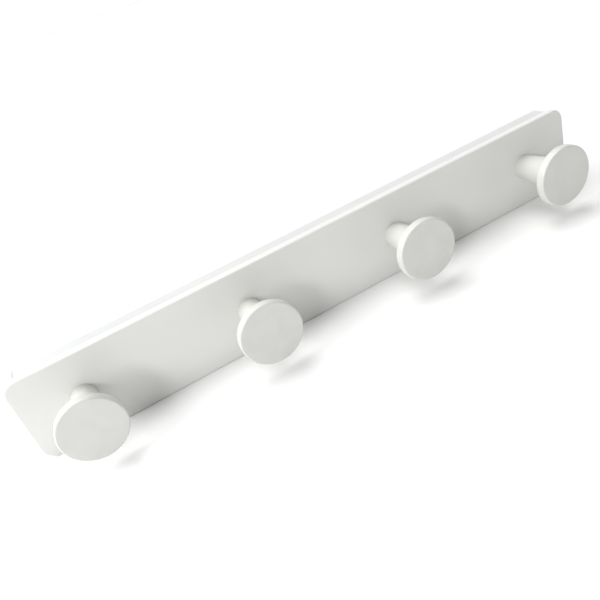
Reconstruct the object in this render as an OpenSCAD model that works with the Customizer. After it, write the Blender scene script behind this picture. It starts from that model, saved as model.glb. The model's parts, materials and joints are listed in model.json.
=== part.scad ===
// Wall-mounted coat rail: a long board with soft corners that carries a row of
// mushroom-shaped knobs, hung on a folded steel rail and locked from below.
//
// X runs along the rail, +Y points into the wall, +Z points up. The wall face is
// the plane y = 0, and the origin is its centre, midway between the wall slots.

/* [Board] */
// Length of the board
board_l = 500; // [380:1:1200]
// Height of the board
board_h = 70; // [56:1:120]
// Thickness of the board
board_t = 8; // [6:0.5:18]
// Radius of the board's four corners, seen from the front
corner_r = 10; // [4:0.5:25]
// Radius that eases the board's long and short edges
edge_r = 1.5; // [0.5:0.1:2.5]

/* [Knobs] */
// Number of knobs
knob_count = 4; // [3:1:6]
// Distance from an end of the board to the axis of the nearest knob
knob_margin = 46; // [30:1:80]
// Reach of a knob, from the face of the board to the front of its disc
knob_reach = 46.5; // [36:0.5:80]
// Diameter of the disc
disc_d = 49; // [43:0.5:65]
// Thickness of the disc
disc_t = 7.5; // [5:0.5:12]
// Radius of the disc's front edge
disc_front_r = 1.5; // [0.5:0.1:3]
// Radius of the disc's back edge
disc_back_r = 1.5; // [0.5:0.1:2]
// Diameter of the stem where it stands on the board
stem_foot_d = 20; // [14:0.5:26]
// Diameter that the stem would reach at the disc without its fillet
stem_neck_d = 26; // [20:0.5:30]
// Radius of the fillet between the stem and the back of the disc
neck_fillet = 5; // [1:0.5:6]

/* [Knob fixing] */
// Diameter of the knob screws
screw_d = 5; // [4:0.5:6]
// Depth that a knob screw reaches into its knob
screw_grip = 8; // [6:0.5:12]
// Diameter of the screw head
screw_head_d = 9.5; // [8:0.5:12]
// Thickness of the screw head
screw_head_t = 3.7; // [2.5:0.1:4]
// Diameter of the washer
washer_d = 15; // [11:0.5:18]
// Thickness of the washer
washer_t = 1.2; // [0.8:0.1:2]
// Outer diameter of the brass insert in a knob
insert_d = 7; // [6.8:0.1:9]
// Length of the brass insert in a knob
insert_l = 10; // [6:0.5:14]
// Play around a screw in its clearance hole, on each side
hole_play = 0.25; // [0.1:0.05:0.5]
// Play between a screw and the thread it turns in, on each side
thread_play = 0.05; // [0.02:0.01:0.1]

/* [Wall rail] */
// Distance from an end of the board to the end of the closed rail
rail_inset = 8; // [2:0.5:25]
// Step from the board's long edges down to the rail
rail_drop = 2; // [1.8:0.1:6]
// Depth of the rail, from the wall to the back of the board
rail_d = 17; // [14:0.5:30]
// Sheet thickness of the rail
rail_sheet = 1.5; // [1:0.1:2]
// Outside radius of the rail's bends
rail_bend_r = 3; // [2.2:0.1:4]
// Height of the lip that is folded down at the front of the rail
rail_lip = 6; // [4.5:0.5:9]
// Width of a wall slot
wall_slot_w = 5.5; // [4.5:0.5:7]
// Length of a wall slot, end to end
wall_slot_l = 14; // [8:1:18]

/* [Rail caps] */
// Thickness of the cap's outer wall
cap_t = 2; // [1.6:0.1:3]
// Radius that eases the cap's edges
cap_edge_r = 0.6; // [0.2:0.1:0.7]
// Length of the plug that holds the cap in the rail
cap_plug = 10; // [5:0.5:14]
// Wall thickness of the plug
cap_plug_t = 1.6; // [1:0.1:2]
// Play around the plug
cap_play = 0.2; // [0.1:0.05:0.4]

/* [Lock blocks] */
// Width of a lock block
block_w = 24; // [16:1:30]
// Play between a lock block and the rail
block_play = 0.3; // [0.2:0.05:0.5]
// Thickness of the nose that hooks behind the rail's lip
nose_t = 5; // [3:0.5:6]
// Thickness of the floor that the block screws clamp
block_floor = 4; // [3:0.5:6]
// Distance of the block screws from the top and bottom of the rail
block_screw_edge = 19; // [17:0.5:20]
// Diameter of the block screws
block_screw_d = 3.5; // [3:0.5:4]
// Diameter of the block screws' heads
block_head_d = 7; // [6:0.5:8]
// Thickness of the block screws' heads
block_head_t = 2.3; // [1.8:0.1:3]
// Board left in front of the tips of the block screws
block_tip_rest = 2; // [1.5:0.5:3]
// Diameter of the lock screws
lock_screw_d = 3; // [2.5:0.5:3]
// Length of the lock screws below their heads
lock_screw_l = 8; // [5:0.5:10]
// Diameter of the lock screws' heads
lock_head_d = 5.7; // [5:0.1:6]
// Thickness of the lock screws' heads
lock_head_t = 1.65; // [1.2:0.05:1.7]
// Outer diameter of the brass inserts in the blocks
lock_insert_d = 4.2; // [4:0.1:5]
// Length of the brass inserts in the blocks
lock_insert_l = 5.5; // [4:0.5:8]

/* [Hidden] */
$fn = 96;
// Overshoot of a cutter past the face it cuts
over = 1;
white = [0.93, 0.93, 0.91];
rail_white = [0.88, 0.88, 0.87];
nylon = [0.78, 0.78, 0.74];
steel = [0.72, 0.73, 0.75];
brass = [0.80, 0.66, 0.32];

// Planes along Y, as depths in front of the wall
board_back = rail_d;
board_front = rail_d + board_t;

// Knobs
knob_pitch = (board_l - 2 * knob_margin) / (knob_count - 1);
knob_x = [for (i = [0 : knob_count - 1]) i * knob_pitch - board_l / 2 + knob_margin];
stem_l = knob_reach - disc_t;
stem_slope = atan((stem_neck_d - stem_foot_d) / 2 / stem_l);
fillet_z = stem_l - neck_fillet;
fillet_x = stem_foot_d / 2 + fillet_z * tan(stem_slope) + neck_fillet / cos(stem_slope);
fillet_start = fillet_z + neck_fillet * sin(stem_slope);
screw_l = washer_t + board_t + screw_grip;
screw_hole_d = screw_d + 2 * hole_play;
// Room past the tip of the screw inside the knob
tip_room = 3;
// A screw head: height of its straight rim and width of its crown, as shares of the head
rim_share = 0.6;
crown_share = 0.7;
// A cross recess: length and width of its slots, and its depth, as shares of the head
recess_share = [0.55, 0.14];
recess_depth = 0.6;
// A knob insert: length of each collar as a share of the insert, and the wall at the waist
collar_share = 1 / 3;
waist_wall = 0.7;
// Width of a wood screw's blunt tip, as a share of the screw
tip_share = 0.2;

// Rail
rail_h = board_h - 2 * rail_drop;
rail_ends = board_l / 2 - rail_inset;
rail_l = 2 * (rail_ends - cap_t);
rail_inner_r = rail_bend_r - rail_sheet;
wall_slot_x = knob_x[knob_count - 1] - knob_pitch / 4;

// Lock blocks stand midway between the two outermost knobs at each end
block_x = knob_x[knob_count - 1] - knob_pitch / 2;
block_foot = -rail_h / 2 + rail_sheet;
block_back = rail_sheet + block_play;
block_shoulder = rail_h / 2 - rail_lip - block_play;
block_top = rail_h / 2 - rail_sheet - block_play;
nose_front = board_back - rail_sheet - block_play;
nose_back = nose_front - nose_t;
// The nose's front edge is cut off so that it clears the inside of the rail's bend
nose_bevel = rail_inner_r;
// The heel is cut back so that the block swings in over the rail's lower flange
heel = [7, 7.5];
block_screw_z = rail_h / 2 - block_screw_edge;
block_screw_l = block_floor + board_t - block_tip_rest;
block_recess_d = block_head_d + 2 * hole_play;
lock_depth = board_back - heel.x / 2;
lock_hole_d = lock_screw_d + 2 * hole_play;
// Hexagon socket of a lock screw: width across flats and depth
lock_socket = [2, 0.9];

// Moves its children to a point of the front view, a depth in front of the wall,
// and turns them so that their Z points out into the room
module out_from(depth, x = 0, z = 0) {
    translate([x, -depth, z]) rotate([90, 0, 0]) children();
}

// Stands a section with depth across and height up, and runs it along X
module along_x(length) {
    rotate([90, 0, -90]) linear_extrude(length, center = true) children();
}

// Half of a slab's section: a strip of width w and thickness t whose far corners are rounded
module eased_strip(w, t, e) {
    square([w - e, t]);
    translate([0, e]) square([w, t - 2 * e]);
    for (y = [e, t - e]) translate([w - e, y]) circle(e);
}

// Slab of l by h by t with corners of radius r, and all its edges eased by e
module eased_slab(l, h, t, r, e) {
    rotate([90, 0, 90]) linear_extrude(l - 2 * r, center = true)
        for (side = [0, 1]) mirror([side, 0]) eased_strip(h / 2, t, e);
    for (side = [0, 1]) mirror([side, 0, 0]) {
        translate([l / 2 - r, 0, 0]) rotate([90, 0, 0])
            linear_extrude(h - 2 * r, center = true) eased_strip(r, t, e);
        for (level = [0, 1]) mirror([0, level, 0])
            translate([l / 2 - r, h / 2 - r, 0]) rotate_extrude(angle = 90) eased_strip(r, t, e);
    }
}

module cross_recess(head_d, head_t) {
    for (turn = [0, 90]) rotate(turn)
        translate([-head_d * recess_share[0] / 2, -head_d * recess_share[1] / 2, head_t * (1 - recess_depth)])
            cube([head_d * recess_share[0], head_d * recess_share[1], head_t]);
}

// Screw head with a sloping crown, its flat side on z = 0
module pan_head(d, t) {
    difference() {
        union() {
            cylinder(d = d, h = t * rim_share);
            translate([0, 0, t * rim_share])
                cylinder(d1 = d, d2 = d * crown_share, h = t * (1 - rim_share));
        }
        cross_recess(d, t);
    }
}

// The board, drilled for the knob screws and, from the back, for the block screws
module front_board() {
    color(white) difference() {
        out_from(board_back) eased_slab(board_l, board_h, board_t, corner_r, edge_r);
        for (x = knob_x) out_from(board_back - over, x)
            cylinder(d = screw_hole_d, h = board_t + 2 * over);
        for (x = [-block_x, block_x], z = [-block_screw_z, block_screw_z])
            out_from(board_back - over, x, z)
                cylinder(d = block_screw_d, h = board_t - block_tip_rest + over);
    }
}

// Half section of a knob, from its foot to the face of the disc
module knob_section() {
    disc_r = disc_d / 2;
    polygon([[0, 0], [stem_foot_d / 2, 0], [stem_neck_d / 2, stem_l], [0, stem_l]]);
    difference() {
        translate([0, fillet_start]) square([fillet_x, stem_l - fillet_start]);
        translate([fillet_x, fillet_z]) circle(neck_fillet);
    }
    translate([0, stem_l]) {
        square([disc_r - disc_back_r, disc_t - disc_front_r]);
        translate([0, disc_back_r]) square([disc_r, disc_t - disc_back_r - disc_front_r]);
        translate([0, disc_back_r]) square([disc_r - disc_front_r, disc_t - disc_back_r]);
        translate([disc_r - disc_back_r, disc_back_r]) circle(disc_back_r);
        translate([disc_r - disc_front_r, disc_t - disc_front_r]) circle(disc_front_r);
    }
}

// A moulded knob with a blind hole in its foot for the insert and the screw's tip
module knob(i) {
    color(white) out_from(board_front, knob_x[i - 1]) difference() {
        rotate_extrude() knob_section();
        translate([0, 0, -over]) cylinder(d = insert_d, h = insert_l + over);
        cylinder(d = screw_hole_d, h = max(insert_l, screw_grip) + tip_room);
    }
}

// Brass insert with two collars and a waist between them, flush with the knob's foot
module knob_insert(i) {
    collar = insert_l * collar_share;
    color(brass) out_from(board_front, knob_x[i - 1]) difference() {
        union() {
            for (z = [0, insert_l - collar]) translate([0, 0, z]) cylinder(d = insert_d, h = collar);
            cylinder(d = screw_d + 2 * (thread_play + waist_wall), h = insert_l);
        }
        translate([0, 0, -over]) cylinder(d = screw_d + 2 * thread_play, h = insert_l + 2 * over);
    }
}

// Pan-head screws from behind the board, one for each knob
module knob_screws() {
    color(steel) for (x = knob_x) out_from(board_back - washer_t, x) {
        cylinder(d = screw_d, h = screw_l);
        mirror([0, 0, 1]) pan_head(screw_head_d, screw_head_t);
    }
}

module knob_washers() {
    color(steel) for (x = knob_x) out_from(board_back - washer_t, x) difference() {
        cylinder(d = washer_d, h = washer_t);
        translate([0, 0, -over]) cylinder(d = screw_hole_d, h = washer_t + 2 * over);
    }
}

// Section of the rail: the web on the wall, two flanges, and a lip folded down at the top
module rail_section() {
    difference() {
        union() {
            rail_outline();
            translate([rail_d - rail_bend_r, -rail_h / 2]) square([rail_bend_r, rail_sheet]);
        }
        rounded_box([rail_sheet, rail_d - rail_sheet], rail_h / 2 - rail_sheet, rail_inner_r);
        translate([rail_d / 2, -rail_h / 2 + rail_sheet])
            square([rail_d, rail_h - rail_sheet - rail_lip]);
    }
}

// Rectangle between two depths, as high above as below the middle, with round corners
module rounded_box(depths, half_h, r) {
    translate([depths[0], r - half_h]) square([depths[1] - depths[0], 2 * (half_h - r)]);
    translate([depths[0] + r, -half_h]) square([depths[1] - depths[0] - 2 * r, 2 * half_h]);
    for (x = [depths[0] + r, depths[1] - r], y = [r - half_h, half_h - r])
        translate([x, y]) circle(r);
}

module rail_outline() {
    rounded_box([0, rail_d], rail_h / 2, rail_bend_r);
}

// A slot along X, cut from front to back
module wall_slot() {
    run = (wall_slot_l - wall_slot_w) / 2;
    for (x = [-run, run]) translate([x, 0, 0])
        cylinder(d = wall_slot_w, h = rail_sheet + 2 * over);
    translate([-run, -wall_slot_w / 2, 0]) cube([2 * run, wall_slot_w, rail_sheet + 2 * over]);
}

// The folded steel rail that is screwed to the wall
module wall_rail() {
    color(rail_white) difference() {
        along_x(rail_l) rail_section();
        for (x = [-wall_slot_x, wall_slot_x]) out_from(-over, x) wall_slot();
        for (x = [-block_x, block_x]) translate([x, -lock_depth, -rail_h / 2 - over])
            cylinder(d = lock_hole_d, h = rail_sheet + 2 * over);
    }
}

// Moulded cap: an outer wall that continues the rail's outline, and a hollow plug inside it
module rail_cap(side) {
    plug = [rail_sheet + cap_play, board_back - rail_sheet - cap_play];
    half_h = rail_h / 2 - rail_sheet - cap_play;
    color(rail_white) {
        translate([side * rail_ends, -rail_d / 2, 0]) rotate([90, 0, -90 * side])
            eased_slab(rail_d, rail_h, cap_t, rail_bend_r, cap_edge_r);
        translate([side * (rail_l / 2 - cap_plug / 2), 0, 0]) along_x(cap_plug) difference() {
            rounded_box(plug, half_h, rail_inner_r);
            rounded_box([plug[0] + cap_plug_t, plug[1] - cap_plug_t], half_h - cap_plug_t, rail_inner_r / 2);
        }
    }
}

// Section of a lock block, with its nose up behind the lip and its heel cut back
module block_section() {
    polygon([
        [board_back, block_foot],
        [board_back, block_shoulder],
        [nose_front, block_shoulder],
        [nose_front, block_top - nose_bevel],
        [nose_front - nose_bevel, block_top],
        [nose_back, block_top],
        [nose_back, block_shoulder],
        [block_back, block_shoulder - (nose_back - block_back)],
        [block_back, block_foot + heel.y],
        [board_back - heel.x, block_foot]
    ]);
}

// Nylon block on the back of the board, which hooks into the rail and takes the lock screw
module lock_block(side) {
    color(nylon) difference() {
        translate([side * block_x, 0, 0]) along_x(block_w) block_section();
        for (z = [-block_screw_z, block_screw_z]) {
            out_from(0, side * block_x, z)
                cylinder(d = block_recess_d, h = board_back - block_floor);
            out_from(0, side * block_x, z) cylinder(d = block_screw_d, h = board_back + over);
        }
        translate([side * block_x, -lock_depth, block_foot - over]) {
            cylinder(d = lock_insert_d, h = lock_insert_l + over);
            cylinder(d = lock_hole_d, h = lock_screw_l + tip_room + over);
        }
    }
}

// Wood screws that hold the lock blocks to the board
module block_screws() {
    point_l = block_screw_d;
    color(steel) for (x = [-block_x, block_x], z = [-block_screw_z, block_screw_z])
        out_from(board_back - block_floor, x, z) {
            cylinder(d = block_screw_d, h = block_screw_l - point_l);
            translate([0, 0, block_screw_l - point_l])
                cylinder(d1 = block_screw_d, d2 = block_screw_d * tip_share, h = point_l);
            mirror([0, 0, 1]) pan_head(block_head_d, block_head_t);
        }
}

// Brass insert in the underside of a lock block
module lock_insert(side) {
    color(brass) translate([side * block_x, -lock_depth, block_foot]) difference() {
        cylinder(d = lock_insert_d, h = lock_insert_l);
        translate([0, 0, -over])
            cylinder(d = lock_screw_d + 2 * thread_play, h = lock_insert_l + 2 * over);
    }
}

// Button-head screws through the rail's lower flange
module lock_screws() {
    color(steel) for (x = [-block_x, block_x]) translate([x, -lock_depth, -rail_h / 2]) {
        cylinder(d = lock_screw_d, h = lock_screw_l);
        mirror([0, 0, 1]) difference() {
            cylinder(d1 = lock_head_d, d2 = lock_head_d * crown_share, h = lock_head_t);
            translate([0, 0, lock_head_t - lock_socket[1]])
                cylinder(d = lock_socket[0] / cos(30), h = lock_head_t, $fn = 6);
        }
    }
}

front_board();
for (i = [1 : knob_count]) {
    knob(i);
    knob_insert(i);
}
knob_screws();
knob_washers();
wall_rail();
rail_cap(-1);  // rail_cap_left
rail_cap(1);  // rail_cap_right
lock_block(-1);  // lock_block_left
lock_block(1);  // lock_block_right
block_screws();
lock_insert(-1);  // lock_insert_left
lock_insert(1);  // lock_insert_right
lock_screws();
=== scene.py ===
# %% [markdown]
# # A wall-mounted coat rail
#
# A long lacquered board carries four mushroom-shaped knobs. Behind it sits a folded steel
# rail that is screwed to the wall. Two nylon blocks on the back of the board hook into that
# rail, and a small screw from below locks each of them.
#
# The CAD model already fixes every size and place. This lesson models each piece again with
# finer edges, real screw threads and moulding details, and gives each one its own finish.
# Lengths are in metres, X runs along the rail, +Y points into the wall and +Z points up.

# %% Load the frame
import json
import math

import bmesh
import bpy
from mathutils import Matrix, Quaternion, Vector


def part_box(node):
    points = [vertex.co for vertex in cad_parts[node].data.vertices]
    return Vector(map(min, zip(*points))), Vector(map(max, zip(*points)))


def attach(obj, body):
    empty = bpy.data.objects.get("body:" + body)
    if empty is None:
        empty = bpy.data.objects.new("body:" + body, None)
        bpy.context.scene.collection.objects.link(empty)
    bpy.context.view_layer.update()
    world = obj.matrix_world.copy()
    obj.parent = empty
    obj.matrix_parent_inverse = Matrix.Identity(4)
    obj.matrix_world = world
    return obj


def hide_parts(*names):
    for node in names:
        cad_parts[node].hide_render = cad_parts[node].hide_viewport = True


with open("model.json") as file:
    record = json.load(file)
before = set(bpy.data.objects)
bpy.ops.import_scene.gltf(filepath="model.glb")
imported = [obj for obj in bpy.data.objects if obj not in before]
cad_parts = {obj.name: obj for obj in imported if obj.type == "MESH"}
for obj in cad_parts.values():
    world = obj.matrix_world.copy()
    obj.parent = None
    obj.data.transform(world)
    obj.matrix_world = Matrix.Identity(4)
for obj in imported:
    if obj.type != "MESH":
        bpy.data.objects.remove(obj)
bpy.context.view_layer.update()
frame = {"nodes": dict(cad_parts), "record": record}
print("nodes in the frame:", len(frame["nodes"]))

# %% Read the places that everything else follows
mm = 0.001
board_low, board_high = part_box("front_board")
rail_low, rail_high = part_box("wall_rail")
knob_names = [f"knob_{i}" for i in range(1, 5)]
knob_x = [sum(corner.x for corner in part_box(name)) / 2 for name in knob_names]
block_x = [sum(corner.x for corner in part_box(f"lock_block_{side}")) / 2 for side in ("left", "right")]
board_front, board_back = board_low.y, board_high.y
floor_z = board_low.z
print("knobs at x =", [round(x / mm, 1) for x in knob_x], "mm")
print("blocks at x =", [round(x / mm, 1) for x in block_x], "mm")

# %% [markdown]
# ## The camera
#
# The rail is looked at from its left end and from above, close enough for the perspective to
# be strong, and the camera is rolled so that the long board runs up across the picture. A
# camera can be aimed by hand with angles, but a place, a point to look at and a roll about
# the line of sight are easier to read and to change.

# %% Place the camera
camera_place = Vector((-144.0, -428.4, 227.7)) * mm
camera_target = Vector((-41.0, -25.0, -5.8)) * mm
camera_roll = math.radians(-20.6)
camera_lens = 36.47  # focal length in millimetres
camera_shift = 0.03  # moves the frame a little to the right, as a share of its width

bpy.ops.object.select_all(action="DESELECT")
bpy.ops.object.camera_add(location=camera_place)
camera = bpy.context.object
camera.name = "camera"
camera.data.lens = camera_lens
camera.data.shift_x = camera_shift
aim = (camera_target - camera_place).to_track_quat("-Z", "Y")
camera.rotation_mode = "QUATERNION"
camera.rotation_quaternion = aim @ Quaternion((0, 0, 1), camera_roll)
bpy.context.scene.camera = camera
print("camera to board:", round((camera_target - camera_place).length / mm), "mm")

# %% [markdown]
# ## Tools for modelling
#
# Blender's operators act on whatever is selected, so a mistake in the selection spoils the
# piece. Three small helpers keep that safe: one clears the selection before a new primitive,
# one selects faces, edges or points in edit mode by a test on their place, and one ends a
# piece by applying its place, so that its object stays at the origin.

# %% Selecting
def clear_selection():
    """Leaves edit mode and deselects every object."""
    if bpy.context.mode != "OBJECT":
        bpy.ops.object.mode_set(mode="OBJECT")
    bpy.ops.object.select_all(action="DESELECT")


def middle(part):
    """The middle of a vertex, an edge or a face."""
    points = [part.co] if isinstance(part, bmesh.types.BMVert) else [v.co for v in part.verts]
    return sum(points, Vector()) / len(points)


def pick(kind, test):
    """In edit mode, selects only the parts of one kind (VERT, EDGE or FACE) that pass a test."""
    bpy.ops.mesh.select_mode(type=kind)
    bpy.ops.mesh.select_all(action="DESELECT")
    mesh = bmesh.from_edit_mesh(bpy.context.edit_object.data)
    parts = {"VERT": mesh.verts, "EDGE": mesh.edges, "FACE": mesh.faces}[kind]
    found = [part for part in parts if test(part)]
    for part in found:
        part.select_set(True)
    bmesh.update_edit_mesh(bpy.context.edit_object.data)
    return len(found)


def near(a, b, reach=1e-5):
    """True if two lengths are the same to a hundredth of a millimetre."""
    return abs(a - b) < reach


# %% Editing
def start_block(name, low, high):
    """Adds a cube that fills the box between two corners, and opens it in edit mode."""
    clear_selection()
    low, high = Vector(low), Vector(high)
    bpy.ops.mesh.primitive_cube_add(size=1, location=(low + high) / 2)
    bpy.context.object.name = name
    bpy.ops.transform.resize(value=high - low)
    bpy.ops.object.transform_apply(location=True, rotation=True, scale=True)
    bpy.ops.object.mode_set(mode="EDIT")
    return bpy.context.object


def start_outline(name, points):
    """Adds one point and extrudes it along a list of points into a chain of edges, in edit mode."""
    clear_selection()
    bpy.ops.mesh.primitive_plane_add(size=mm)
    bpy.context.object.name = name
    bpy.ops.object.mode_set(mode="EDIT")
    bpy.ops.mesh.select_mode(type="VERT")
    bpy.ops.mesh.select_all(action="SELECT")
    bpy.ops.mesh.merge(type="CENTER")
    bpy.ops.transform.translate(value=points[0])
    for before, after in zip(points, points[1:]):
        step = Vector(after) - Vector(before)
        bpy.ops.mesh.extrude_vertices_move(TRANSFORM_OT_translate={"value": step})
    return bpy.context.object


merge_reach = 0.002 * mm  # points closer than this are one point


def close_mesh():
    """Merges doubled points and turns all faces outwards, in edit mode."""
    bpy.ops.mesh.select_all(action="SELECT")
    bpy.ops.mesh.remove_doubles(threshold=merge_reach)
    bpy.ops.mesh.normals_make_consistent(inside=False)


def turned(name, outline, steps=96):
    """Spins an outline of (radius, height) points about Z, as on a lathe."""
    piece = start_outline(name, [(r, 0, z) for r, z in outline])
    bpy.ops.mesh.select_all(action="SELECT")
    bpy.ops.mesh.spin(steps=steps, angle=2 * math.pi, center=(0, 0, 0), axis=(0, 0, 1))
    close_mesh()
    clear_selection()
    return piece


def activate(piece):
    """Makes one object the only selected and the active one."""
    clear_selection()
    piece.select_set(True)
    bpy.context.view_layer.objects.active = piece


def apply_modifier(piece, kind, **settings):
    """Adds a modifier with its settings and applies it."""
    activate(piece)
    modifier = piece.modifiers.new(kind.title(), kind)
    for key, value in settings.items():
        setattr(modifier, key, value)
    bpy.ops.object.modifier_apply(modifier=modifier.name)


def cut(piece, cutter, operation="DIFFERENCE"):
    """Cuts one piece with another, or joins them, and removes the second."""
    apply_modifier(piece, "BOOLEAN", object=cutter, operation=operation, solver="EXACT")
    bpy.data.objects.remove(cutter)


# %% Placing and smoothing
def place(piece, location=(0, 0, 0), rotation=(0, 0, 0)):
    """Puts a piece in its place and applies it, so that the place is in the mesh."""
    activate(piece)
    piece.location = location
    piece.rotation_euler = rotation
    bpy.ops.object.transform_apply(location=True, rotation=True, scale=True)
    return piece


def copy_of(piece, name, location, rotation=(0, 0, 0)):
    """A copy with its own mesh, put in place."""
    twin = piece.copy()
    twin.data = piece.data.copy()
    twin.name = name
    bpy.context.scene.collection.objects.link(twin)
    return place(twin, location, rotation)


def smooth(piece, angle=35):
    """Smooth shading across edges flatter than an angle, while large flat faces stay flat."""
    activate(piece)
    bpy.ops.object.shade_smooth_by_angle(angle=math.radians(angle))
    apply_modifier(piece, "WEIGHTED_NORMAL", keep_sharp=True, mode="FACE_AREA")
    return piece


def arc(centre, radius, start, end, steps):
    """Points on a round stretch of an outline, from one angle in degrees to another."""
    turns = [math.radians(start + (end - start) * i / steps) for i in range(steps + 1)]
    return [(centre[0] + radius * math.cos(t), centre[1] + radius * math.sin(t)) for t in turns]


OUT = (math.radians(90), 0, 0)  # turns a piece's Z axis to point out of the board, along -Y
pieces = {}  # piece name: (object, CAD node it stands for)

# %% [markdown]
# ## The board
#
# The real board is cut from medium-density fibreboard, its four corners are routed to a
# radius, and both faces get a small roundover before the lacquer goes on. It could be a
# curve with thickness, but a cube with two bevels follows the same steps as the router:
# first the corners, then the edges all round. The holes are drilled last.

# %% Cut the board
corner_r, edge_r = 10 * mm, 1.5 * mm
board = start_block("board", board_low, board_high)
pick("EDGE", lambda e: near(e.verts[0].co.x, e.verts[1].co.x) and near(e.verts[0].co.z, e.verts[1].co.z))
bpy.ops.mesh.bevel(offset=corner_r, segments=16, affect="EDGES")
for level in (board_front, board_back):
    rim = pick("EDGE", lambda e: all(near(v.co.y, level) for v in e.verts))
    bpy.ops.mesh.bevel(offset=edge_r, segments=6, affect="EDGES")
    print("edges rounded over:", rim)
clear_selection()

# %% Drill the board
screw_hole_d, pilot_d, pilot_rest = 5.5 * mm, 3.5 * mm, 2 * mm
block_screw_z = 14 * mm
overshoot = 0.5 * mm  # how far a drill starts outside the surface


def drill(piece, places, sizes, rotation=OUT):
    """Drills stepped round holes. sizes lists (diameter, depth from the surface), widest first."""
    outline, start = [(0, -overshoot)], -overshoot
    for diameter, depth in sizes:
        outline += [(diameter / 2, start), (diameter / 2, depth)]
        start = depth
    for spot in places:
        cut(piece, place(turned("drill", outline + [(0, start)], steps=48), spot, rotation))


board_t = board_back - board_front
drill(board, [(x, board_back, 0) for x in knob_x], [(screw_hole_d, board_t + mm)])
pilots = [(x, board_back, z) for x in block_x for z in (-block_screw_z, block_screw_z)]
drill(board, pilots, [(pilot_d, board_t - pilot_rest)])
pieces["board"] = (smooth(board), "front_board")
print("board faces:", len(board.data.polygons))

# %% [markdown]
# ## The knobs
#
# A knob is one moulding: a stem that widens towards the disc, a fillet, and a flat disc with
# a soft rim. Its foot is hollow for the brass insert. Everything is round about one axis, so
# the outline is spun once, like a piece on a lathe, and then copied to the four places.

# %% Turn one knob
disc_r = (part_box("knob_1")[1].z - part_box("knob_1")[0].z) / 2
reach = board_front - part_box("knob_1")[0].y
disc_t, front_r, back_r = 7.5 * mm, 1.5 * mm, 1.5 * mm
foot_r, neck_r, fillet = 10 * mm, 13 * mm, 5 * mm
insert_r, insert_l, tip_depth = 3.5 * mm, 10 * mm, 13 * mm
foot_chamfer = 0.1 * mm

stem_l = reach - disc_t
slope = math.atan((neck_r - foot_r) / stem_l)
fillet_z = stem_l - fillet
fillet_x = foot_r + fillet_z * math.tan(slope) + fillet / math.cos(slope)
foot = [(0, tip_depth), (screw_hole_d / 2, tip_depth), (screw_hole_d / 2, insert_l), (insert_r, insert_l)]
foot += [(insert_r, 0), (foot_r - foot_chamfer, 0), (foot_r + foot_chamfer * math.tan(slope), foot_chamfer)]
neck = arc((fillet_x, fillet_z), fillet, 180 - math.degrees(slope), 90, 16)
back_edge = arc((disc_r - back_r, stem_l + back_r), back_r, -90, 0, 8)
front_edge = arc((disc_r - front_r, reach - front_r), front_r, 0, 90, 10)
knob = turned("knob", foot + neck + back_edge + front_edge + [(0, reach)], steps=128)
smooth(knob)
print("knob:", round(2 * disc_r / mm, 1), "mm across,", round(reach / mm, 1), "mm reach")

# %% Copy it to the four places
for i, x in enumerate(knob_x, start=1):
    pieces[f"coat_knob_{i}"] = (copy_of(knob, f"coat_knob_{i}", (x, board_front, 0), OUT), f"knob_{i}")
bpy.data.objects.remove(knob)

# %% [markdown]
# ## Threads
#
# Screws are rolled: the thread stands up above a thinner core. A spiral of edges would only
# look right from afar. Here the outline of one pitch is carried round by a Screw modifier,
# one turn ending where the next begins, which gives one unbroken surface. Two flat cuts
# trim it, and each rim is filled with a face, which makes a solid rod.

# %% Roll a thread
flank_share, crest_share = 0.40, 0.12  # of the pitch
lead_in = 1.43  # pitches below the first cut, chosen so that no edge lies right on it
hairline = 1e-7  # the operator's own 0.1 mm would merge the fine edges of a thread


def threaded_rod(name, crest_r, root_r, pitch, low, high, steps=32):
    """A closed threaded rod about Z between two heights."""
    start = low - lead_in * pitch
    flank, crest = flank_share * pitch, crest_share * pitch
    outline = [
        (root_r, 0), (crest_r, flank), (crest_r, flank + crest),
        (root_r, 2 * flank + crest), (root_r, pitch),
    ]
    rod = start_outline(name, [(r, 0, start + z) for r, z in outline])
    clear_selection()
    turns = math.ceil((high - low) / pitch) + 2
    apply_modifier(
        rod, "SCREW", angle=2 * math.pi, screw_offset=pitch, iterations=turns, steps=steps, render_steps=steps
    )
    bpy.ops.object.mode_set(mode="EDIT")
    close_mesh()
    for height, side in ((low, "clear_inner"), (high, "clear_outer")):
        bpy.ops.mesh.select_all(action="SELECT")
        bpy.ops.mesh.bisect(plane_co=(0, 0, height), plane_no=(0, 0, 1), threshold=hairline, **{side: True})
        pick("EDGE", lambda e: len(e.link_faces) == 1 and near(middle(e).z, height))
        bpy.ops.mesh.edge_face_add()
    close_mesh()
    clear_selection()
    return rod


rim_share, recess_share = 0.35, 0.6  # of the height of a pan head
recess_taper = (0.45, 0.8, 1)  # a cross recess at its floor, as shares of its mouth


def pan_head(name, radius, height, recess_l, recess_w):
    """A pan head below Z = 0 with a crowned top and a tapered cross recess."""
    rim = rim_share * height
    crown = arc((0, -rim), 1, 0, -90, 10)
    outline = [(0, 0), (radius, 0)] + [(radius * x, -rim + (z + rim) * (height - rim)) for x, z in crown]
    head = turned(name, outline, steps=64)
    depth = recess_share * height
    for turn in (0, 90):
        corner = Vector((recess_l / 2, recess_w / 2, 0))
        slot = start_block("slot", (-corner.x, -corner.y, -height - mm), (corner.x, corner.y, depth - height))
        pick("FACE", lambda f: near(middle(f).z, depth - height))
        bpy.ops.transform.resize(value=recess_taper, center_override=(0, 0, depth - height))
        clear_selection()
        cut(head, place(slot, rotation=(0, 0, math.radians(turn))))
    return head


# %% [markdown]
# ## What holds a knob
#
# Each knob is held from behind by an M5 pan-head screw with a large washer, which turns in a
# brass insert pressed into the knob's foot. The insert's two collars are knurled so that the
# plastic grips them. The knurl is made by pulling every second point of the collars inwards.

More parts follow.
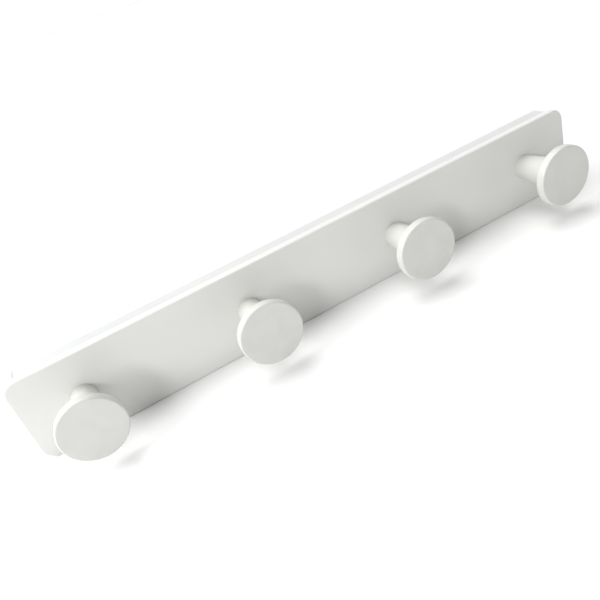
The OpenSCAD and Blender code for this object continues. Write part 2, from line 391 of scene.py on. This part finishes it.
# %% Turn an insert, a washer and a screw
def knurl(piece, radius, depth, ridges):
    """Pulls every second point of a collar inwards, which leaves straight ridges."""
    activate(piece)
    bpy.ops.object.mode_set(mode="EDIT")
    pitch = math.pi / ridges

    def in_valley(vertex):
        on_collar = near(math.hypot(vertex.co.x, vertex.co.y), radius)
        return on_collar and round(math.atan2(vertex.co.y, vertex.co.x) / pitch) % 2

    pulled = pick("VERT", in_valley)
    share = 1 - depth / radius
    bpy.ops.transform.resize(value=(share, share, 1), center_override=(0, 0, 0))
    clear_selection()
    return pulled


bore_r, collar_l, waist_r, chamfer = 2.55 * mm, insert_l / 3, 3.25 * mm, 0.3 * mm
knurl_depth = 0.25 * mm
insert = turned("insert", [
    (bore_r + chamfer, 0), (insert_r, 0), (insert_r, collar_l), (waist_r, collar_l),
    (waist_r, insert_l - collar_l), (insert_r, insert_l - collar_l), (insert_r, insert_l - chamfer),
    (insert_r - chamfer, insert_l), (bore_r, insert_l), (bore_r, chamfer), (bore_r + chamfer, 0),
], steps=64)
print("knurl points pulled in:", knurl(insert, insert_r, knurl_depth, ridges=32))
smooth(insert, 25)

washer_r, washer_t, washer_edge = 7.5 * mm, 1.2 * mm, 0.2 * mm
washer = turned("washer", [
    (screw_hole_d / 2, 0), (washer_r - washer_edge, 0), (washer_r, washer_edge),
    (washer_r, washer_t - washer_edge), (washer_r - washer_edge, washer_t),
    (screw_hole_d / 2, washer_t), (screw_hole_d / 2, 0),
], steps=64)
smooth(washer, 50)

screw_grip = 8 * mm
screw_l = washer_t + board_t + screw_grip
knob_screw = pan_head(
    "knob_screw", radius=4.75 * mm, height=3.7 * mm, recess_l=5.2 * mm, recess_w=1.3 * mm
)
knob_thread = threaded_rod(
    "rod", crest_r=2.5 * mm, root_r=2.05 * mm, pitch=0.8 * mm, low=-0.5 * mm, high=screw_l
)
cut(knob_screw, knob_thread, "UNION")
smooth(knob_screw, 25)
print("knob screw:", round(screw_l / mm, 1), "mm long,", len(knob_screw.data.polygons), "faces")

# %% Put one set behind each knob
washer_face = board_back + washer_t
for i, x in enumerate(knob_x, start=1):
    at_foot, at_washer = (x, board_front, 0), (x, washer_face, 0)
    pieces[f"brass_insert_{i}"] = (copy_of(insert, f"brass_insert_{i}", at_foot, OUT), f"knob_insert_{i}")
    pieces[f"knob_washer_{i}"] = (copy_of(washer, f"knob_washer_{i}", at_washer, OUT), "knob_washers")
    pieces[f"knob_screw_{i}"] = (copy_of(knob_screw, f"knob_screw_{i}", at_washer, OUT), "knob_screws")
for done in (insert, washer, knob_screw):
    bpy.data.objects.remove(done)

# %% [markdown]
# ## The wall rail
#
# The rail is folded from steel sheet: a web that lies on the wall, a flange above and one
# below, and a lip folded down at the front of the upper flange. A block with a hollow cut
# out would have sharp bends. Instead the outer skin of its section is drawn as a line and
# extruded, the fold lines are bevelled to the bending radius, and Solidify gives the sheet
# its thickness on the inside, which leaves the smaller inside radius of a press brake.

# %% Fold the rail
rail_sheet, bend_r, lip = 1.5 * mm, 3 * mm, 6 * mm
section = [
    (rail_low.y, rail_low.z), (0, rail_low.z), (0, rail_high.z),
    (rail_low.y, rail_high.z), (rail_low.y, rail_high.z - lip),
]
rail = start_outline("steel_rail", [(rail_low.x, y, z) for y, z in section])
bpy.ops.mesh.select_all(action="SELECT")
bpy.ops.mesh.extrude_region_move(TRANSFORM_OT_translate={"value": (rail_high.x - rail_low.x, 0, 0)})
close_mesh()


def on_fold(edge):
    """True for the three long edges where the sheet is bent."""
    along_x = near(edge.verts[0].co.y, edge.verts[1].co.y) and near(edge.verts[0].co.z, edge.verts[1].co.z)
    return along_x and len(edge.link_faces) == 2


print("fold lines:", pick("EDGE", on_fold))
bpy.ops.mesh.bevel(offset=bend_r, segments=10, affect="EDGES")
web = next(f for f in bmesh.from_edit_mesh(rail.data).faces if near(middle(f).y, 0))
if web.normal.y < 0:
    bpy.ops.mesh.select_all(action="SELECT")
    bpy.ops.mesh.flip_normals()
clear_selection()
apply_modifier(rail, "SOLIDIFY", thickness=rail_sheet, offset=-1, use_even_offset=True)

# %% Punch the slots and the lock holes
wall_mount = next(mount for mount in frame["record"]["mounts"] if mount["name"] == "wall_slots")
slot_w = 2 * wall_mount["dims"]["hole_r_mm"] * mm
slot_l = wall_mount["dims"]["slot_length_mm"] * mm
slot_x = wall_mount["dims"]["spacing_x_mm"] / 2 * mm
punch_depth = 3 * mm  # deeper than the sheet
lock_hole_d = 3.5 * mm
edge_break = 0.2 * mm
lock_low = [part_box(f"lock_insert_{side}")[0] for side in ("left", "right")]
lock_high = [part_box(f"lock_insert_{side}")[1] for side in ("left", "right")]
lock_spots = [((a.x + b.x) / 2, (a.y + b.y) / 2) for a, b in zip(lock_low, lock_high)]
for x in (-slot_x, slot_x):
    punch = turned("punch", [(0, -mm), (slot_w / 2, -mm), (slot_w / 2, punch_depth), (0, punch_depth)], 48)
    bpy.context.view_layer.objects.active = punch
    bpy.ops.object.mode_set(mode="EDIT")
    for side in (-1, 1):
        pick("VERT", lambda v: v.co.x * side > 0 and not near(v.co.x, 0))
        bpy.ops.transform.translate(value=(side * (slot_l - slot_w) / 2, 0, 0))
    clear_selection()
    cut(rail, place(punch, (x, 0, 0), OUT))
UP = (0, 0, 0)  # a drill that is not turned bores upwards
drill(rail, [(x, y, rail_low.z) for x, y in lock_spots], [(lock_hole_d, punch_depth)], rotation=UP)
apply_modifier(
    rail, "BEVEL", width=edge_break, segments=2, limit_method="ANGLE", angle_limit=math.radians(60)
)
pieces["steel_rail"] = (smooth(rail), "wall_rail")
print("rail faces:", len(rail.data.polygons))

# %% [markdown]
# ## The end caps
#
# A moulded cap closes each end of the rail. Its outer wall continues the rail's outline, and
# a hollow plug holds it inside the sheet. The plug grows out of the wall's inner face by an
# inset and an extrusion, and the same two steps, inwards, make it hollow.

# %% Mould the caps
def make_cap(name, side):
    """One cap. side is -1 at the left end of the rail and 1 at the right end."""
    wall_t, edge, cap_play = 2 * mm, 0.6 * mm, 0.2 * mm
    plug_l, plug_wall = 10 * mm, 1.6 * mm
    inner = side * rail_high.x
    outer = inner + side * wall_t
    low = (min(inner, outer), rail_low.y, rail_low.z)
    high = (max(inner, outer), rail_high.y, rail_high.z)
    cap = start_block(name, low, high)
    pick("EDGE", lambda e: not near(e.verts[0].co.x, e.verts[1].co.x))
    bpy.ops.mesh.bevel(offset=bend_r, segments=8, affect="EDGES")
    for level in (inner, outer):
        pick("EDGE", lambda e: all(near(v.co.x, level) for v in e.verts))
        bpy.ops.mesh.bevel(offset=edge, segments=4, affect="EDGES")
    pick("FACE", lambda f: near(middle(f).x, inner))
    bpy.ops.mesh.inset(thickness=rail_sheet + cap_play - edge)
    bpy.ops.mesh.extrude_region_move(TRANSFORM_OT_translate={"value": (-side * plug_l, 0, 0)})
    bpy.ops.mesh.inset(thickness=plug_wall)
    bpy.ops.mesh.extrude_region_move(TRANSFORM_OT_translate={"value": (side * plug_l, 0, 0)})
    close_mesh()
    clear_selection()
    return smooth(cap)


for side_name, side in (("left", -1), ("right", 1)):
    pieces[f"end_cap_{side_name}"] = (make_cap(f"end_cap_{side_name}", side), f"rail_cap_{side_name}")

# %% [markdown]
# ## The lock blocks
#
# A nylon block on the back of the board hooks behind the rail's lip with its nose and stands
# on the lower flange with its foot. Its heel is cut away so that the board can swing in from
# below. The block has one section all along, so its outline is drawn once and extruded, and
# its edges are rounded before the holes are drilled.

# %% Mould the blocks
block_play, nose_t, floor_t, block_edge = 0.3 * mm, 5 * mm, 4 * mm, 0.4 * mm
heel_y, heel_z = 7 * mm, 7.5 * mm
head_recess_d = 7.5 * mm
lock_insert_r, lock_insert_l, lock_bore_l = 2.1 * mm, 5.5 * mm, 11 * mm
lock_spot_z = rail_low.z + rail_sheet


def make_block(name, node, lock_spot):
    """One lock block in the box of its CAD node."""
    low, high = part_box(node)
    shoulder = rail_high.z - lip - block_play
    nose_front = low.y + rail_sheet + block_play
    nose_back = nose_front + nose_t
    nose_bevel = bend_r - rail_sheet
    outline = [
        (low.y, low.z), (low.y, shoulder), (nose_front, shoulder), (nose_front, high.z - nose_bevel),
        (nose_front + nose_bevel, high.z), (nose_back, high.z), (nose_back, shoulder),
        (high.y, shoulder - (high.y - nose_back)), (high.y, low.z + heel_z), (low.y + heel_y, low.z),
    ]
    block = start_outline(name, [(low.x, y, z) for y, z in outline + outline[:1]])
    close_mesh()
    bpy.ops.mesh.select_all(action="SELECT")
    bpy.ops.mesh.edge_face_add()
    bpy.ops.mesh.extrude_region_move(TRANSFORM_OT_translate={"value": (high.x - low.x, 0, 0)})
    close_mesh()
    bpy.ops.mesh.bevel(offset=block_edge, segments=3, affect="EDGES")
    clear_selection()
    x = (low.x + high.x) / 2
    spots = [(x, high.y, z) for z in (-block_screw_z, block_screw_z)]
    drill(block, spots, [(head_recess_d, high.y - low.y - floor_t), (pilot_d, high.y - low.y + mm)])
    lock_bore = [(2 * lock_insert_r, lock_insert_l), (lock_hole_d, lock_bore_l)]
    drill(block, [(*lock_spot, low.z)], lock_bore, rotation=UP)
    return smooth(block)


for side_name, spot in zip(("left", "right"), lock_spots):
    name = f"nylon_block_{side_name}"
    pieces[name] = (make_block(name, f"lock_block_{side_name}", spot), f"lock_block_{side_name}")
    print(name, "faces:", len(pieces[name][0].data.polygons))

# %% [markdown]
# ## The small screws
#
# Two wood screws hold each block to the board, and one M3 button-head screw from below locks
# it to the rail. They are made like the knob screws. A wood screw also needs a point, so its
# thread is cut back with a pointed rod, keeping only what both have in common.

# %% Make the wood screws, the lock inserts and the lock screws
wood_l = floor_t + board_t - pilot_rest
point_l, point_r, envelope_r = 4 * mm, 0.35 * mm, 2 * mm
wood_thread = threaded_rod(
    "thread", crest_r=pilot_d / 2, root_r=1.2 * mm, pitch=1.4 * mm, low=-0.4 * mm, high=wood_l
)
envelope = turned("envelope", [
    (0, -mm), (envelope_r, -mm), (envelope_r, wood_l - point_l), (point_r, wood_l), (0, wood_l),
], 48)
cut(wood_thread, envelope, "INTERSECT")
wood_screw = pan_head(
    "wood_screw", radius=3.5 * mm, height=2.3 * mm, recess_l=3.9 * mm, recess_w=1.0 * mm
)
cut(wood_screw, wood_thread, "UNION")
smooth(wood_screw, 25)

lock_bore_r, groove_r, groove_slope = 1.55 * mm, 1.9 * mm, 0.2 * mm
groove_low, groove_high = 2.2 * mm, 3.3 * mm
lock_insert = turned("lock_insert", [
    (lock_bore_r, 0), (lock_insert_r, 0), (lock_insert_r, groove_low),
    (groove_r, groove_low + groove_slope), (groove_r, groove_high - groove_slope),
    (lock_insert_r, groove_high), (lock_insert_r, lock_insert_l),
    (lock_bore_r, lock_insert_l), (lock_bore_r, 0),
], 48)
lock_knurl_depth = 0.15 * mm
knurl(lock_insert, lock_insert_r, lock_knurl_depth, ridges=24)
smooth(lock_insert, 25)

button_r, button_t, socket_w, socket_t = 2.85 * mm, 1.65 * mm, 2 * mm, 0.9 * mm
lock_screw_l = 8 * mm
dome = [(button_r * x, button_t * z) for x, z in arc((0, 0), 1, 0, -90, 12)]
lock_screw = turned("lock_screw", [(0, 0), (button_r, 0)] + dome[1:], 64)
key_r = socket_w / 2 / math.cos(math.radians(30))
socket_floor = socket_t - button_t
key_end = -3 * mm  # below the head, so that the cutter passes right out of it
key = [(0, key_end), (key_r, key_end), (key_r, socket_floor), (0, socket_floor)]
cut(lock_screw, turned("key", key, 6))
lock_thread = threaded_rod(
    "rod", crest_r=1.5 * mm, root_r=1.2 * mm, pitch=0.5 * mm, low=-0.3 * mm, high=lock_screw_l, steps=24
)
cut(lock_screw, lock_thread, "UNION")
smooth(lock_screw, 25)
print("faces:", {p.name: len(p.data.polygons) for p in (wood_screw, lock_insert, lock_screw)})

# %% Put them in place
clamp_face = board_back + floor_t
spots = [(x, clamp_face, z) for x in block_x for z in (block_screw_z, -block_screw_z)]
for i, spot in enumerate(spots, start=1):
    pieces[f"wood_screw_{i}"] = (copy_of(wood_screw, f"wood_screw_{i}", spot, OUT), "block_screws")
for side_name, (x, y) in zip(("left", "right"), lock_spots):
    name = f"lock_insert_{side_name}"
    pieces[f"brass_{name}"] = (copy_of(lock_insert, f"brass_{name}", (x, y, lock_spot_z)), name)
    screw_name = f"lock_screw_{side_name}"
    pieces[screw_name] = (copy_of(lock_screw, screw_name, (x, y, rail_low.z)), "lock_screws")
for done in (wood_screw, lock_insert, lock_screw):
    bpy.data.objects.remove(done)
print("pieces modelled:", len(pieces))

# %% [markdown]
# ## Finishes
#
# Every piece here is nearly white, so the finishes tell them apart: satin lacquer, glossy
# moulded plastic, powder paint, textured plastic and milky nylon, with zinc and brass behind.
# Each finish is built from nodes on Object coordinates, which are metres on these pieces, so
# the scale of a pattern is one over its real size. A helper adds a node with its settings and
# its links, and colours are written as they look on a screen and turned to linear light.

# %% Helpers for materials
def linear(colour):
    """Turns an sRGB hex colour such as #F2F1EC into linear RGBA."""
    parts = [int(colour[i:i + 2], 16) / 255 for i in (1, 3, 5)]
    return [c / 12.92 if c <= 0.04045 else ((c + 0.055) / 1.055) ** 2.4 for c in parts] + [1.0]


def add(material, kind, inputs=(), **settings):
    """Adds a node. inputs pairs socket names or numbers with values, or with sockets to link."""
    node = material.node_tree.nodes.new("ShaderNode" + kind)
    for key, value in settings.items():
        setattr(node, key, value)
    for socket, value in dict(inputs).items():
        if isinstance(value, bpy.types.NodeSocket):
            material.node_tree.links.new(value, node.inputs[socket])
        else:
            node.inputs[socket].default_value = value
    return node


def start_material(name):
    """A new material with only its output. Returns it and a socket with Object coordinates."""
    material = bpy.data.materials.new(name)
    material.use_nodes = True
    material.node_tree.nodes.clear()
    return material, add(material, "TexCoord").outputs["Object"]


def finish_material(material, inputs):
    """Adds the shader that joins all channels, and the output."""
    shader = add(material, "BsdfPrincipled", inputs)
    add(material, "OutputMaterial", {"Surface": shader.outputs["BSDF"]})
    print(material.name, "has", len(material.node_tree.nodes), "nodes")
    return material


# %% [markdown]
# ### Satin lacquer on fibreboard
#
# The board is sprayed with a white satin lacquer. Its colour clouds very slightly over a hand's
# width where the coat is thinner, the surface has the gentle waves called orange peel, about
# 3 mm apart, and the gloss changes a little from place to place where it was wiped.

# %% Lacquer
lacquer, where = start_material("satin_lacquer")
clouds = add(lacquer, "TexNoise", {"Vector": where, "Scale": 1 / (70 * mm), "Detail": 3.0, "Roughness": 0.55})
tint = add(lacquer, "ValToRGB", {"Fac": clouds.outputs["Fac"]})
tint.color_ramp.elements[0].position, tint.color_ramp.elements[1].position = 0.35, 0.65
tint.color_ramp.elements[0].color, tint.color_ramp.elements[1].color = linear("#DCDCD9"), linear("#DEDEDB")
wiped = add(lacquer, "TexNoise", {"Vector": where, "Scale": 1 / (25 * mm), "Detail": 4.0})
gloss = add(lacquer, "MapRange", {"Value": wiped.outputs["Fac"], "To Min": 0.26, "To Max": 0.31})
peel = add(lacquer, "TexNoise", {"Vector": where, "Scale": 1 / (3 * mm), "Detail": 2.0})
relief = add(lacquer, "Bump", {"Height": peel.outputs["Fac"], "Distance": 0.012 * mm, "Strength": 0.6})
finish_material(lacquer, {
    "Base Color": tint.outputs["Color"], "Roughness": gloss.outputs["Result"],
    "Normal": relief.outputs["Normal"], "IOR": 1.5,
})

# %% [markdown]
# ### Moulded ABS
#
# The knobs come out of a polished mould. ABS is a touch greyer than the lacquer and a little
# glossier. Its surface sinks and swells by about a hundredth of a millimetre where it shrank
# unevenly over the thick stem, and faint flow marks cloud its colour.

# %% Moulded plastic
knob_abs, where = start_material("moulded_abs")
flow = add(knob_abs, "TexNoise", {"Vector": where, "Scale": 1 / (18 * mm), "Detail": 2.0, "Distortion": 0.6})
tint = add(knob_abs, "ValToRGB", {"Fac": flow.outputs["Fac"]})
tint.color_ramp.elements[0].position, tint.color_ramp.elements[1].position = 0.3, 0.7
tint.color_ramp.elements[0].color, tint.color_ramp.elements[1].color = linear("#CCCCC8"), linear("#D1D1CD")
handled = add(knob_abs, "TexNoise", {"Vector": where, "Scale": 1 / (9 * mm), "Detail": 5.0})
gloss = add(knob_abs, "MapRange", {"Value": handled.outputs["Fac"], "To Min": 0.22, "To Max": 0.28})
sink = add(knob_abs, "TexNoise", {"Vector": where, "Scale": 1 / (6 * mm), "Detail": 1.0})
relief = add(knob_abs, "Bump", {"Height": sink.outputs["Fac"], "Distance": 0.015 * mm, "Strength": 0.5})
finish_material(knob_abs, {
    "Base Color": tint.outputs["Color"], "Roughness": gloss.outputs["Result"],
    "Normal": relief.outputs["Normal"], "IOR": 1.54,
})

# %% [markdown]
# ### Powder coat on steel
#
# The rail is blasted and powder coated in a slightly greyer white. Powder melts into a film
# with small, even dimples, which scatter the light much more than lacquer does.

# %% Powder coat
powder, where = start_material("powder_coat")
batch = add(powder, "TexNoise", {"Vector": where, "Scale": 1 / (40 * mm), "Detail": 3.0})
tint = add(powder, "ValToRGB", {"Fac": batch.outputs["Fac"]})
tint.color_ramp.elements[0].position, tint.color_ramp.elements[1].position = 0.3, 0.7
tint.color_ramp.elements[0].color, tint.color_ramp.elements[1].color = linear("#CACCCB"), linear("#D0D1D0")
dimples = add(powder, "TexVoronoi", {"Vector": where, "Scale": 1 / (1.2 * mm)}, feature="SMOOTH_F1")
gloss = add(powder, "MapRange", {"Value": dimples.outputs["Distance"], "To Min": 0.45, "To Max": 0.60})
relief = add(powder, "Bump", {"Height": dimples.outputs["Distance"], "Distance": 0.03 * mm, "Strength": 0.6})
finish_material(powder, {
    "Base Color": tint.outputs["Color"], "Roughness": gloss.outputs["Result"],
    "Normal": relief.outputs["Normal"], "IOR": 1.5,
})

# %% [markdown]
# ### Textured ABS
#
# The end caps are moulded in a mould with a spark-eroded texture, so they are matt and finely
# grained. The real grain is about 0.1 mm and is drawn at 0.5 mm here so that it shows.

# %% Textured plastic
cap_abs, where = start_material("textured_abs")
shade = add(cap_abs, "TexNoise", {"Vector": where, "Scale": 1 / (15 * mm), "Detail": 2.0})
tint = add(cap_abs, "ValToRGB", {"Fac": shade.outputs["Fac"]})
tint.color_ramp.elements[0].color, tint.color_ramp.elements[1].color = linear("#C8CAC9"), linear("#CECFCE")
grain = add(cap_abs, "TexNoise", {"Vector": where, "Scale": 1 / (0.5 * mm), "Detail": 3.0, "Roughness": 0.7})
gloss = add(cap_abs, "MapRange", {"Value": grain.outputs["Fac"], "To Min": 0.55, "To Max": 0.75})
relief = add(cap_abs, "Bump", {"Height": grain.outputs["Fac"], "Distance": 0.03 * mm, "Strength": 0.8})
finish_material(cap_abs, {
    "Base Color": tint.outputs["Color"], "Roughness": gloss.outputs["Result"],
    "Normal": relief.outputs["Normal"], "IOR": 1.54,
})

# %% [markdown]
# ### Natural nylon
#
# The lock blocks are unpigmented nylon: a warm, milky white that lets light in by a millimetre
# or two, which softens its edges. Its surface is dull and a little cloudy.

# %% Nylon
nylon, where = start_material("natural_nylon")
milk = add(nylon, "TexNoise", {"Vector": where, "Scale": 1 / (8 * mm), "Detail": 3.0})
tint = add(nylon, "ValToRGB", {"Fac": milk.outputs["Fac"]})
tint.color_ramp.elements[0].color, tint.color_ramp.elements[1].color = linear("#D6D0BF"), linear("#E0DBCD")
gloss = add(nylon, "MapRange", {"Value": milk.outputs["Fac"], "To Min": 0.38, "To Max": 0.52})
mould = add(nylon, "TexNoise", {"Vector": where, "Scale": 1 / (1.5 * mm), "Detail": 2.0})
relief = add(nylon, "Bump", {"Height": mould.outputs["Fac"], "Distance": 0.02 * mm, "Strength": 0.5})
finish_material(nylon, {
    "Base Color": tint.outputs["Color"], "Roughness": gloss.outputs["Result"],
    "Normal": relief.outputs["Normal"], "IOR": 1.53,
    "Subsurface Weight": 0.15, "Subsurface Radius": (1.0, 0.85, 0.6), "Subsurface Scale": 1.5 * mm,
})

# %% [markdown]
# ### Zinc-plated steel
#
# Bright zinc with a blue passivation: grey with a cold tint that changes in patches, and a
# slightly rough, faintly pitted surface.

# %% Zinc
zinc, where = start_material("zinc_plated_steel")
patches = add(zinc, "TexNoise", {"Vector": where, "Scale": 1 / (2.5 * mm), "Detail": 3.0})
tint = add(zinc, "ValToRGB", {"Fac": patches.outputs["Fac"]})
tint.color_ramp.elements[0].color, tint.color_ramp.elements[1].color = linear("#AEB6BF"), linear("#C9CCCB")
gloss = add(zinc, "MapRange", {"Value": patches.outputs["Fac"], "To Min": 0.22, "To Max": 0.42})
pits = add(zinc, "TexNoise", {"Vector": where, "Scale": 1 / (0.4 * mm), "Detail": 2.0})
relief = add(zinc, "Bump", {"Height": pits.outputs["Fac"], "Distance": 0.01 * mm, "Strength": 0.5})
finish_material(zinc, {
    "Base Color": tint.outputs["Color"], "Roughness": gloss.outputs["Result"],
    "Normal": relief.outputs["Normal"], "Metallic": 1.0,
})

# %% [markdown]
# ### Turned brass
#
# The inserts are turned from brass rod. The tool leaves fine rings, here 0.25 mm apart, and
# the metal has dulled unevenly. The bands of a Wave texture stand across the Y axis, which
# makes rings on the knob inserts. The two small inserts in the blocks stand upright, so on
# them the bands run lengthways, which cannot be seen where they sit.

# %% Brass
brass, where = start_material("turned_brass")
dull = add(brass, "TexNoise", {"Vector": where, "Scale": 1 / (3 * mm), "Detail": 3.0})
tint = add(brass, "ValToRGB", {"Fac": dull.outputs["Fac"]})
tint.color_ramp.elements[0].color, tint.color_ramp.elements[1].color = linear("#A98444"), linear("#D2AE6A")
gloss = add(brass, "MapRange", {"Value": dull.outputs["Fac"], "To Min": 0.22, "To Max": 0.40})
ring_gap = 0.25 * mm
band_gap = 0.314  # metres from band to band in a Wave texture with a scale of 1
rings = add(brass, "TexWave", {"Vector": where, "Scale": band_gap / ring_gap, "Distortion": 0.4},
            wave_type="BANDS", bands_direction="Y")
relief = add(brass, "Bump", {"Height": rings.outputs["Fac"], "Distance": 0.01 * mm, "Strength": 0.5})
finish_material(brass, {
    "Base Color": tint.outputs["Color"], "Roughness": gloss.outputs["Result"],
    "Normal": relief.outputs["Normal"], "Metallic": 1.0,
})

# %% [markdown]
# ## Which piece gets which finish
#
# Each modelled piece stands for a CAD node, so the node's name says what the piece is made
# of. The longest key that the name starts with wins, because knob_insert_1 also starts with
# knob. Every piece rides on the one body, since nothing on this rail moves.

# %% Give every piece its finish and its body
finishes = {
    "front_board": (lacquer, "board_lacquer"), "knob": (knob_abs, "knob_plastic"),
    "wall_rail": (powder, "rail_paint"), "rail_cap": (cap_abs, "cap_plastic"),
    "lock_block": (nylon, "block_nylon"), "knob_insert": (brass, "insert_brass"),
    "lock_insert": (brass, "insert_brass"), "knob_screws": (zinc, "screw_steel"),
    "knob_washers": (zinc, "screw_steel"), "block_screws": (zinc, "screw_steel"),
    "lock_screws": (zinc, "screw_steel"),
}
for name, (piece, node) in pieces.items():
    kind = max((key for key in finishes if node.startswith(key)), key=len)
    material, slot = finishes[kind]
    piece.data.materials.clear()
    piece.data.materials.append(material)
    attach(piece, "root")
    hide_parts(node)
print("pieces finished:", len(pieces))

# %% [markdown]
# ## The studio
#
# The rail stands on its lower edge on a wide sheet of glossy white acrylic that runs out of
# sight. Two softboxes in front on the left, a near one and a higher one behind it, are the
# key light: they throw the soft shadows of the knobs to the right across the board. A small
# softbox close to the left end lights the stems along the board. Two broad suns from above
# and behind whiten the floor and brighten the top edges. The world is dim for diffuse light,
# so that the shadows stay, but white for the camera and for reflections, which a Light Path
# node allows.

# %% Lay the floor
clear_selection()
floor_size = 40  # metres, so that its edge is out of sight
bpy.ops.mesh.primitive_plane_add(size=floor_size, location=(0, 0, floor_z))
floor = bpy.context.object
floor.name = "floor"
acrylic, where = start_material("white_acrylic")
film = add(acrylic, "TexNoise", {"Vector": where, "Scale": 1 / (120 * mm), "Detail": 2.0})
gloss = add(acrylic, "MapRange", {"Value": film.outputs["Fac"], "To Min": 0.12, "To Max": 0.16})
finish_material(acrylic, {
    "Base Color": linear("#F7F7F7"), "Roughness": gloss.outputs["Result"], "IOR": 1.49,
})
floor.data.materials.append(acrylic)

# %% Light it
scene_middle = Vector((0, -40, 0)) * mm


def aim_at_middle(light):
    """Turns a light so that it shines at the middle of the rail."""
    light.rotation_mode = "QUATERNION"
    light.rotation_quaternion = (scene_middle - light.location).to_track_quat("-Z", "Y")


softboxes = {  # place in metres, diameter in metres, power in watts
    "key": ((-0.9, -1.1, 0.5), 0.35, 5.2), "key_high": ((-1.4, -1.2, 0.9), 0.5, 5.0),
    "side": ((-0.72, -0.06, 0.34), 0.3, 2.2),
}
for name, (place_at, size, power) in softboxes.items():
    bpy.ops.object.light_add(type="AREA", location=place_at)
    light = bpy.context.object
    light.name = name
    light.data.shape = "DISK"
    light.data.size = size
    light.data.energy = power
    aim_at_middle(light)

sun_spread = math.radians(40)  # how broad a sun looks, which softens its shadows
suns = {  # where it shines from, strength
    "above": ((0, 0.26, 0.97), 1.7), "back_left": ((-0.66, 0.38, 0.64), 1.1),
}
for name, (place_at, power) in suns.items():
    bpy.ops.object.light_add(type="SUN", location=place_at)
    light = bpy.context.object
    light.name = name
    light.data.angle = sun_spread
    light.data.energy = power
    aim_at_middle(light)

# %% Set the world
world = bpy.data.worlds.new("studio")
bpy.context.scene.world = world
world.use_nodes = True
world.node_tree.nodes.clear()
ray = add(world, "LightPath")
dim = add(world, "Background", {"Color": (1, 1, 1, 1), "Strength": 0.32})
white = add(world, "Background", {"Color": (1, 1, 1, 1), "Strength": 1.0})
mixed = add(world, "MixShader", {
    "Fac": ray.outputs["Is Diffuse Ray"], 1: white.outputs["Background"], 2: dim.outputs["Background"],
})
add(world, "OutputWorld", {"Surface": mixed.outputs["Shader"]})
bpy.context.scene.view_settings.view_transform = "Standard"
